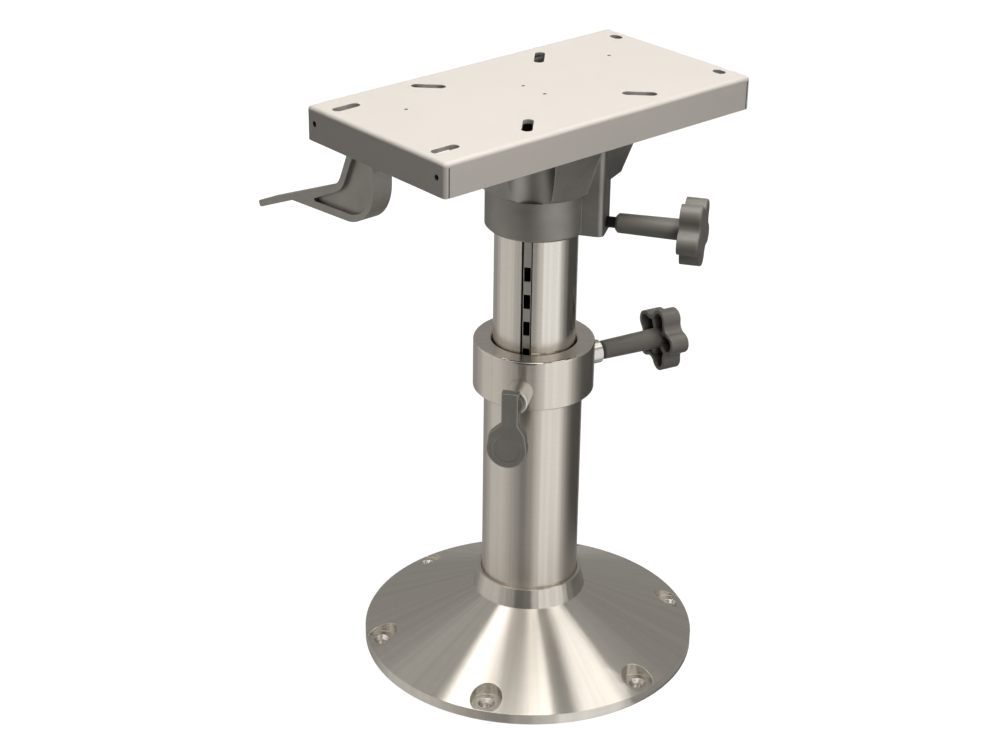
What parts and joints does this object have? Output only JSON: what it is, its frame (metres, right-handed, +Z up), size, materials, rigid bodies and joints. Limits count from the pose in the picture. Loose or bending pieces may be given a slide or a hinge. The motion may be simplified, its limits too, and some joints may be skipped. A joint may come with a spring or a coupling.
{
  "type": "boat seat pedestal",
  "caption": "Boat seat pedestal with a round cone base, telescoping post, swivel head and a fore and aft seat slide.",
  "frame": {"origin": "centre of the base's underside on the column axis, at the deck", "axes": "+Z up along the column, +X along the seat slide away from the slide lever, +Y towards the side the lever's blade points to"},
  "size_m": [0.282, 0.2911, 0.4453],
  "materials": {
    "satin_aluminium": "satin brushed and clear anodised",
    "grey_casting": "fine cast, clear coated",
    "grey_moulding": "moulded, metallic grey",
    "painted_steel": "smooth powder coat",
    "zinc_steel": "zinc plated",
    "black_steel": "black oxide",
    "bright_steel": "turned bright",
    "nylon": "natural nylon"
  },
  "bodies": {
    "base": {"base_flange": "satin_aluminium", "column_tube": "satin_aluminium", "column_collar": "satin_aluminium", "lever_boss": "bright_steel", "clamp_boss": "bright_steel", "guide_sleeve": "nylon"},
    "post": {"height_post": "satin_aluminium", "thrust_washer": "nylon"},
    "head": {"swivel_head": "grey_casting", "swivel_bushing": "nylon", "slide_base": "zinc_steel", "head_screws": "zinc_steel", "slide_rack": "zinc_steel", "glide_strip_front": "nylon", "glide_strip_back": "nylon"},
    "seat": {"seat_plate": "painted_steel", "rail_front": "zinc_steel", "rail_back": "zinc_steel", "slide_stops": "zinc_steel", "shaft_brackets": "zinc_steel"},
    "slide_lever": {"slide_lever": "grey_casting", "lever_shaft": "zinc_steel", "slide_pawl": "zinc_steel"},
    "height_lever": {"height_lever": "grey_casting"},
    "lock_pin": {"lock_pin": "zinc_steel"},
    "clamp_stud": {"clamp_stud": "zinc_steel"},
    "clamp_knob": {"clamp_knob": "grey_moulding"},
    "swivel_stud": {"swivel_stud": "black_steel"},
    "swivel_knob": {"swivel_knob": "grey_moulding"}
  },
  "joints": [
    {"name": "height_slide", "type": "slide", "parent": "base", "child": "post", "axis": [0, 0, 1], "range_m": [-0.084, 0.04]},
    {"name": "head_swivel", "type": "hinge", "parent": "post", "child": "head", "pos_m": [0, 0, 0.38], "axis": [0, 0, 1], "continuous": true},
    {"name": "seat_slide", "type": "slide", "parent": "head", "child": "seat", "axis": [1, 0, 0], "range_m": [-0.06, 0.048]},
    {"name": "slide_release", "type": "hinge", "parent": "seat", "child": "slide_lever", "pos_m": [-0.118, 0.04, 0.4364], "axis": [1, 0, 0], "range_deg": [0, 15], "stiffness_Nm_per_rad": 0.5, "springref_deg": -17.19},
    {"name": "height_release", "type": "hinge", "parent": "base", "child": "height_lever", "pos_m": [-0.05178, -0.03762, 0.2313], "axis": [-0.809, -0.5878, 0], "range_deg": [0, 90], "stiffness_Nm_per_rad": 0.1, "springref_deg": -17.19},
    {"name": "pin_slide", "type": "slide", "parent": "base", "child": "lock_pin", "axis": [-0.809, -0.5878, 0], "range_m": [0, 0.005]},
    {"name": "height_clamp_slide", "type": "slide", "parent": "base", "child": "clamp_stud", "axis": [0.9744, -0.225, 0], "range_m": [0, 0.0025]},
    {"name": "height_clamp_turn", "type": "hinge", "parent": "clamp_stud", "child": "clamp_knob", "pos_m": [0.09744, -0.0225, 0.2313], "axis": [0.9744, -0.225, 0], "range_deg": [0, 720]},
    {"name": "swivel_clamp_slide", "type": "slide", "parent": "head", "child": "swivel_stud", "axis": [0.5592, -0.829, 0], "range_m": [0, 0.0025]},
    {"name": "swivel_clamp_turn", "type": "hinge", "parent": "swivel_stud", "child": "swivel_knob", "pos_m": [0.05592, -0.0829, 0.3516], "axis": [0.5592, -0.829, 0], "range_deg": [0, 720]}
  ],
  "couplings": [
    {"joint": "pin_slide", "follows": "height_release", "m_per_rad": 0.003183},
    {"joint": "height_clamp_turn", "follows": "height_clamp_slide", "rad_per_m": 5026.5},
    {"joint": "swivel_clamp_turn", "follows": "swivel_clamp_slide", "rad_per_m": 5026.5}
  ]
}
